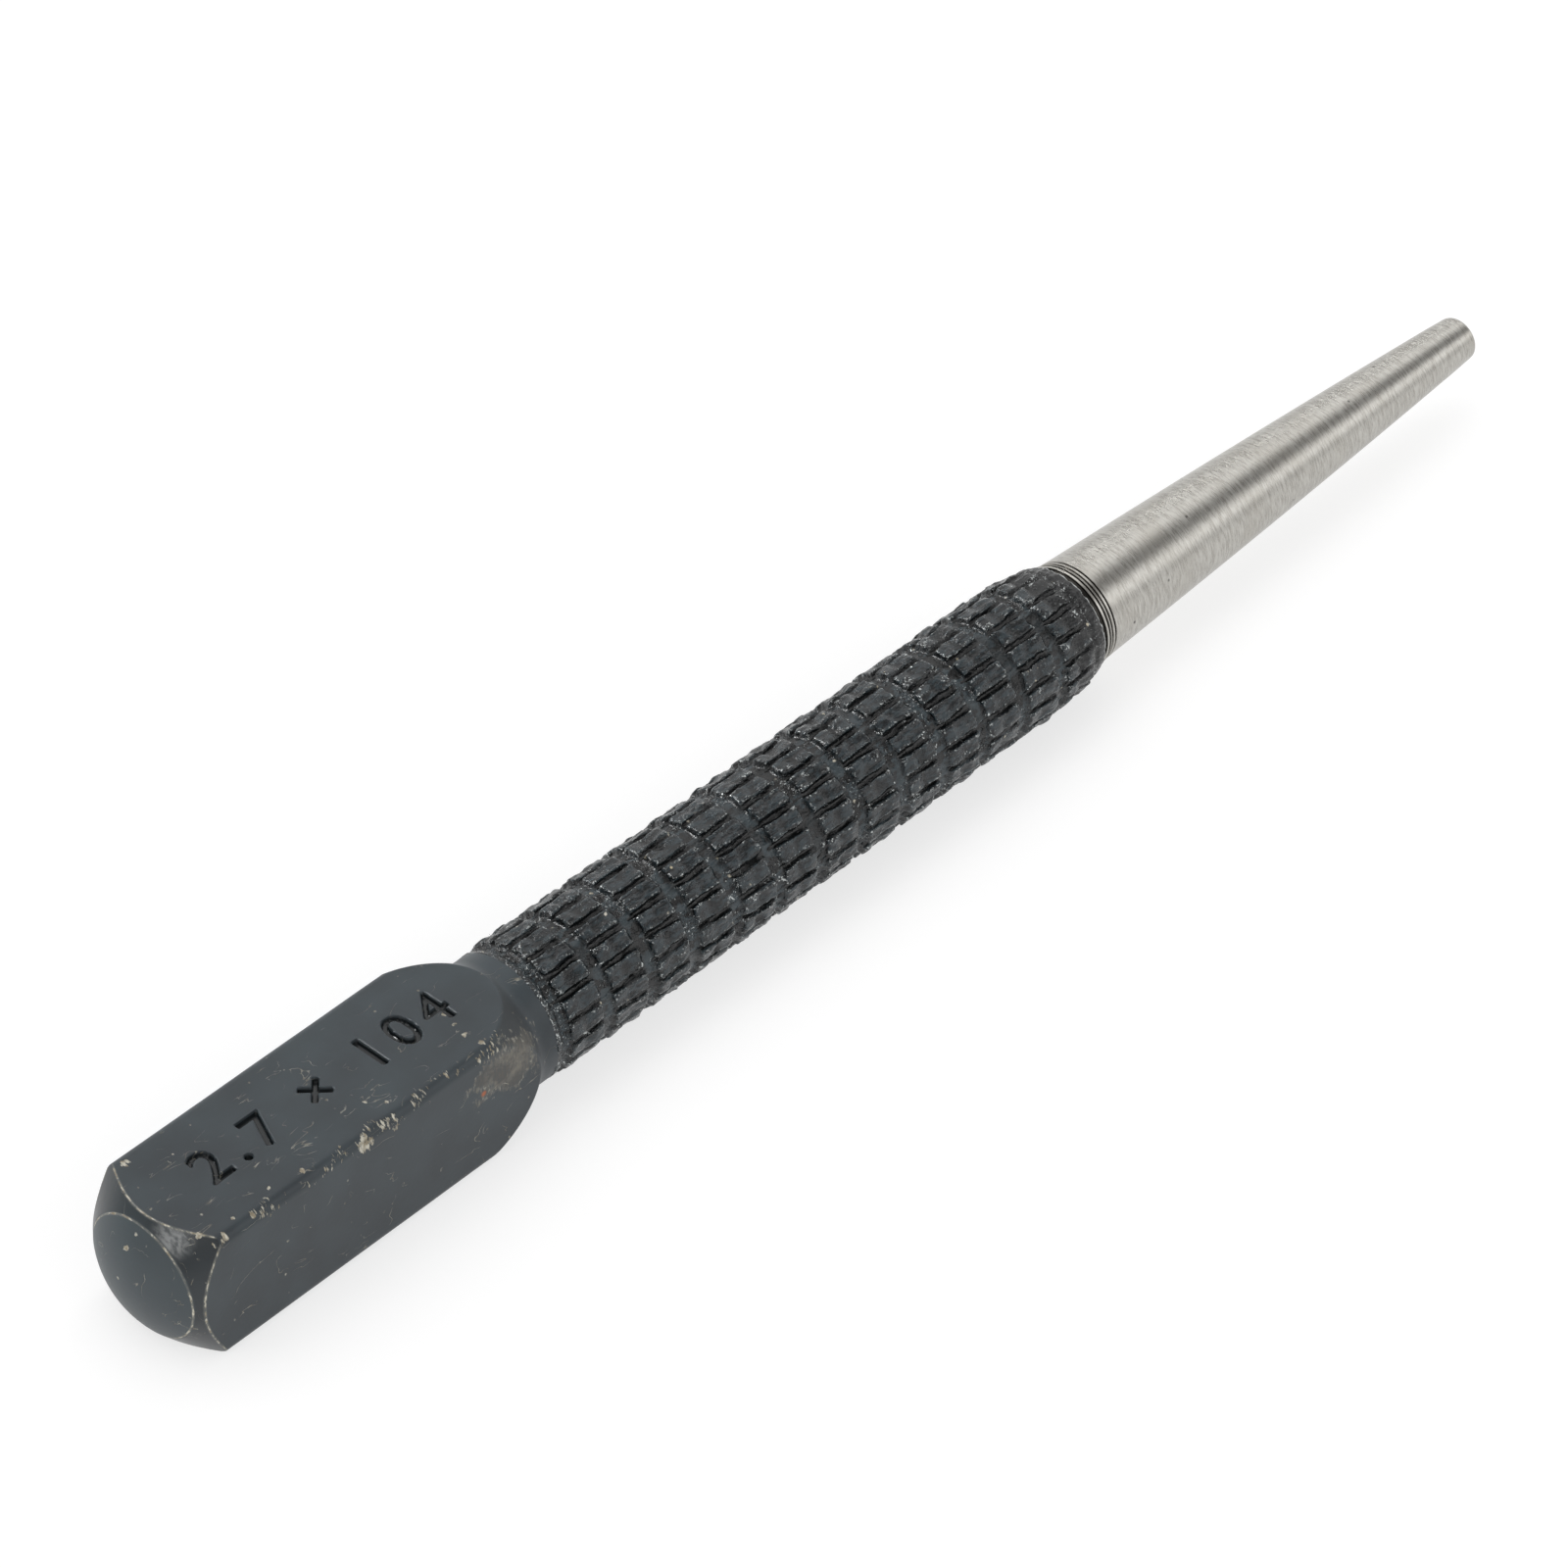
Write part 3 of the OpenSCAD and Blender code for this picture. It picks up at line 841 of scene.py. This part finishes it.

# %% Bare the sharp edges of the grip, and paint its highlights and shade
# Sharp edges of the pads and burrs show pale flecks, partly bare metal and partly painted highlights, and
# rough spots get painted glitter. Rough spots also have dark pits, and the hollow corners between the pads
# are painted black as shade
sharp = put(tree, "NewGeometry", out="Pointiness")
fleck_and_highlight = put(tree, "Math", put(tree, "MapRange", sharp, 0.52, 0.56),
            put(tree, "MapRange", burr, 0.54, 0.65, 0.0, 0.95), operation="MULTIPLY")
painted_glitter = put(tree, "Math", rough_zone, put(tree, "MapRange", burr, 0.62, 0.67, 0.0, 0.8),
              operation="MULTIPLY")
fleck_and_highlight = put(tree, "Math", fleck_and_highlight, painted_glitter, operation="MAXIMUM")
pit_and_shade = put(tree, "Math", rough_zone, put(tree, "MapRange", burr, 0.4, 0.48, 0.9, 0.0), operation="MULTIPLY")
pit_and_shade = put(tree, "Math", pit_and_shade, put(tree, "MapRange", sharp, 0.46, 0.492, 0.95, 0.0), operation="MAXIMUM")
film = put(tree, "Mix", pit_and_shade, **COLOURS, into={6: film, 7: linear("#040505")})
film = put(tree, "Mix", fleck_and_highlight, **COLOURS, into={6: film, 7: linear("#c8cccb")})
print("flecks and pits:", len(tree.nodes), "nodes so far")

# %% Bare the edge of the paint, and add a few glints
at_paint_edge = put(tree, "Math", put(tree, "MapRange", x, paint_x - 0.14, paint_x - 0.09),
                    put(tree, "MapRange", burr, 0.4, 0.5, 0.5, 1.0), operation="MULTIPLY")
at_paint_edge = put(tree, "Math", at_paint_edge,
                    put(tree, "MapRange", across, PAINT_EDGE_R - 0.12, PAINT_EDGE_R - 0.08),
                    operation="MULTIPLY")
film = put(tree, "Mix", at_paint_edge, **COLOURS, into={6: film, 7: linear("#d4d8d8")})
glint_cell = put(tree, "Math", burr, 0.3, put(tree, "TexVoronoi", place, into={"Scale": 1.1}),
                 operation="MULTIPLY_ADD")
glint = put(tree, "Math",
            put(tree, "MapRange", glint_cell, 0.2, 0.27, 1.0, 0.0),
            put(tree, "MapRange", put(tree, "TexNoise", place, into={"Scale": 0.6}), 0.54, 0.58),
            operation="MULTIPLY")
glint_colour = put(tree, "Mix", put(tree, "TexNoise", place, into={"Scale": 0.31}), **COLOURS,
                   into={6: linear("#a88f55"), 7: linear("#d6d8d4")})
film = put(tree, "Mix", glint, **COLOURS, into={6: film, 7: glint_colour})
print("paint's edge and glints:", len(tree.nodes), "nodes so far")

# %% Bump and gloss of the grip
ripple = put(tree, "TexNoise", place, into={"Scale": 1.6, "Detail": 2.0})
ripple_bump = put(tree, "Bump", into={"Strength": 0.5, "Distance": 0.08 * MM, "Height": ripple})
streak_bump = put(tree, "Bump", into={"Strength": 0.9, "Distance": 0.07 * MM, "Height": streaks,
                                      "Normal": ripple_bump})
burr_bump = put(tree, "Bump", into={"Strength": put(tree, "MapRange", rough_zone, 0, 1, 0.4, 1.0),
                                    "Distance": 0.1 * MM, "Height": burr, "Normal": streak_bump})
rough = put(tree, "MapRange", streaks, 0.35, 0.65, 0.12, 0.26)
bare = put(tree, "Math", fleck_and_highlight, 0.7, operation="MULTIPLY")
for socket, source in {"Base Color": film, "Roughness": rough, "Metallic": bare,
                       "Normal": burr_bump}.items():
    tree.links.new(source, shader.inputs[socket])
shader.inputs["Specular IOR Level"].default_value = 0.5
print("grip enamel:", len(tree.nodes), "nodes")

# %% [markdown]
# ## Ground steel
#
# The taper is ground while it turns, so its lines run round it, a few hundredths of a millimetre apart.
# They are drawn about five times as coarse, because finer ones don't show. Such lines spread a reflection
# along the tool and keep it sharp across, which is why a round shank shows long straight streaks. The
# shader's anisotropy does that: the tangent runs round the axis, and a quarter turn lays the long side of
# the reflection along the tool.


# %% Grind the steel
def ground_steel(name, groove_r):
    """Ground steel. Below the groove radius, dark cutting residue stays in the turned grooves."""
    material, tree, shader, place, x, y, z, across = new_material(name)
    lines_place = put(tree, "Mapping", place, into={"Scale": (1.0, 0.16, 0.16)})
    lines = put(tree, "TexNoise", lines_place, into={"Scale": 8.0, "Detail": 3.0, "Roughness": 0.7})
    broad = put(tree, "TexNoise", place, into={"Scale": 0.35, "Detail": 2.0})
    steel = put(tree, "Mix", put(tree, "MapRange", lines, 0.35, 0.65), **COLOURS,
                into={6: linear("#9f9c96"), 7: linear("#c2c0ba")})
    steel = put(tree, "Mix", put(tree, "MapRange", broad, 0.5, 0.75, 0.0, 0.5), **COLOURS,
                into={6: steel, 7: linear("#aba79f")})
    pit_cell = put(tree, "TexVoronoi", place, into={"Scale": 0.55})
    pit_gate = put(tree, "TexNoise", place, into={"Scale": 0.3})
    pits = put(tree, "Math", put(tree, "MapRange", pit_cell, 0.03, 0.07, 0.8, 0.0),
               put(tree, "MapRange", pit_gate, 0.5, 0.55), operation="MULTIPLY")
    grime = put(tree, "Math",
                put(tree, "MapRange", across, groove_r - 0.01, groove_r + 0.01, 0.93, 0.0),
                put(tree, "MapRange", x, plain_x - 0.02, plain_x, 1.0, 0.0), operation="MULTIPLY")
    steel = put(tree, "Mix", put(tree, "Math", pits, grime, operation="MAXIMUM"), **COLOURS,
                into={6: steel, 7: linear("#1d1b18")})
    bump = put(tree, "Bump", into={"Strength": 0.7, "Distance": 0.022 * MM, "Height": lines})
    rough = put(tree, "MapRange", lines, 0.3, 0.7, 0.24, 0.34)
    tangent = put(tree, "Tangent", direction_type="RADIAL", axis="X")
    for socket, source in {"Base Color": steel, "Roughness": rough, "Normal": bump,
                           "Tangent": tangent}.items():
        tree.links.new(source, shader.inputs[socket])
    shader.inputs["Metallic"].default_value = 1.0
    shader.inputs["Anisotropic"].default_value = 0.8
    shader.inputs["Anisotropic Rotation"].default_value = 0.25
    return material


bright = ground_steel("ground_tool_steel", SHANK_R - 0.6 * FINE_DEPTH)
ringed = ground_steel("turned_tool_steel", ring_r - 0.4 * FINE_DEPTH)
print("steel finishes:", bright.name, ringed.name)

# %% [markdown]
# ## Down to metres, and onto the tool
#
# Each piece is brought to its real size, which also puts its place into its mesh. Its shading is smooth
# apart from true edges. It then rides on the one body of the tool, and takes the place of the plain solid
# of its zone. The collar keeps two finishes: enamel on the lip, bare steel on the rings.


# %% Bring the pieces down to metres
def finish(piece, node, material=None):
    """Scales a piece to metres, gives it its finish, and lets it stand for its plain solid."""
    take(piece)
    piece.scale = (MM, MM, MM)
    bpy.ops.object.transform_apply(location=True, rotation=True, scale=True)
    bpy.ops.object.shade_smooth_by_angle(angle=math.radians(40))
    if material:
        piece.data.materials.clear()
        piece.data.materials.append(material)
    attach(piece, "root")
    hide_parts(node)
    print(piece.name, triangles(piece), "triangles")


lip_piece.data.materials.append(wet)
collar_rings.data.materials.append(ringed)
take(lip_piece)
collar_rings.select_set(True)
bpy.ops.object.join()

finish(face_piece, "striking_face", enamel)
finish(bar_piece, "square_head", enamel)
finish(ogive_piece, "ogive_shoulder", enamel)
finish(neck_piece, "turned_neck", enamel)
finish(grip_piece, "knurled_grip", wet)
finish(lip_piece, "paint_collar")
finish(shank, "tapered_shank", bright)
finish(tip, "cup_tip", bright)

# %% [markdown]
# ## Floor and light
#
# The tool lies on a plain white floor under a white studio. The studio is drawn in the world: long soft
# boxes that run beside the tool, one over it and one at its right, with a dimmer gap between them where a
# camera would stand. Steel needs that gap, because it only shows what is around it. In reflections the
# boxes fade towards the face's end of the tool, as boxes that stop there would. A small card low in front
# of the face lights the chamfer, and a small lamp up on the far side, which only reflections see, makes
# the burrs of the knurl glint. The camera sees plain white beyond the floor, and the floor adds a little
# white of its own for the camera and for reflections, so its shadow stays but is faint.

# %% Lay the floor
bpy.ops.object.select_all(action="DESELECT")
bpy.ops.mesh.primitive_plane_add(size=6, location=(0, 0, 0))
floor = bpy.context.object
floor.name = "studio_floor"
sweep = bpy.data.materials.new("white_sweep")
sweep.use_nodes = True
tree = sweep.node_tree
tree.nodes.remove(tree.nodes["Principled BSDF"])
rays = put(tree, "LightPath").node
seen = put(tree, "Math", rays.outputs["Is Camera Ray"], rays.outputs["Is Glossy Ray"], operation="MAXIMUM")
seen = put(tree, "Math", seen, rays.outputs["Is Transmission Ray"], operation="MAXIMUM")
board = put(tree, "Mix", seen, **COLOURS, into={6: (0.8, 0.8, 0.8, 1), 7: (0.42, 0.42, 0.42, 1)})
glow = put(tree, "Emission", (1, 1, 1, 1), put(tree, "Math", seen, 0.66, operation="MULTIPLY"))
surface = put(tree, "AddShader", put(tree, "BsdfDiffuse", board), glow)
below = put(tree, "NewGeometry", out="Backfacing")
surface = put(tree, "MixShader", below, surface, put(tree, "BsdfTransparent"))
tree.links.new(surface, tree.nodes["Material Output"].inputs["Surface"])
floor.data.materials.append(sweep)
print("floor:", floor.dimensions.x, "m wide")

# %% Light the studio
# Degrees up from the left horizon, and brightness
SOFT_BOXES = [(0, 0.88), (50, 0.9), (65, 1.4), (78, 1.5), (91, 0.8), (104, 0.36), (117, 0.36), (128, 0.6),
              (142, 1.55), (156, 1.6), (170, 0.7), (180, 0.85)]
BRIGHTEST = 1.6
CARD_TOWARD = (-0.928, -0.084, 0.361)  # low in front of the face
CARD_LEVEL = 1.1
LAMP_TOWARD = (-0.299, 0.631, 0.716)  # up on the far side
LAMP_LEVEL = 24
world = bpy.data.worlds.new("studio")
bpy.context.scene.world = world
world.use_nodes = True
tree = world.node_tree
toward = put(tree, "TexCoord", out=0)
axes = put(tree, "SeparateXYZ", toward)
turn = put(tree, "Math", axes.node.outputs[2], axes.node.outputs[1], operation="ARCTAN2")
boxes = put(tree, "ValToRGB", put(tree, "Math", turn, math.pi, operation="DIVIDE"))
ramp = boxes.node.color_ramp
ramp.interpolation = "B_SPLINE"
for stop in range(len(SOFT_BOXES) - 2):
    ramp.elements.new(0.5)
for element, (turn_at, brightness) in zip(ramp.elements, SOFT_BOXES):
    element.position = turn_at / 180
    element.color = (brightness / BRIGHTEST,) * 3 + (1,)
in_front = put(tree, "MapRange", axes, -0.55, -0.05, 0.35, 1.0, **SMOOTH)
to_card = put(tree, "VectorMath", toward, CARD_TOWARD, out=1, operation="DOT_PRODUCT")
card = put(tree, "MapRange", to_card, 0.955, 0.985, 0.0, CARD_LEVEL, **SMOOTH)
rays = put(tree, "LightPath").node
to_lamp = put(tree, "VectorMath", toward, LAMP_TOWARD, out=1, operation="DOT_PRODUCT")
lamp = put(tree, "MapRange", to_lamp, 0.975, 0.99, 0.0, LAMP_LEVEL, **SMOOTH)
lamp = put(tree, "Math", lamp, rays.outputs["Is Glossy Ray"], operation="MULTIPLY")
in_front = put(tree, "Math", in_front, rays.outputs["Is Diffuse Ray"], operation="MAXIMUM")
level = put(tree, "Math", boxes, BRIGHTEST, operation="MULTIPLY")
level = put(tree, "Math", level, in_front, operation="MULTIPLY")
for more in (card, lamp):
    level = put(tree, "Math", level, more, operation="ADD")
level = put(tree, "Mix", rays.outputs["Is Camera Ray"], into={2: level, 3: 1.0})
tree.links.new(level, tree.nodes["Background"].inputs["Strength"])
tree.nodes["Background"].inputs["Color"].default_value = (1, 1, 1, 1)
bpy.context.scene.view_settings.view_transform = "Standard"
print("light:", len(SOFT_BOXES), "stops of the soft boxes,", len(tree.nodes), "world nodes")
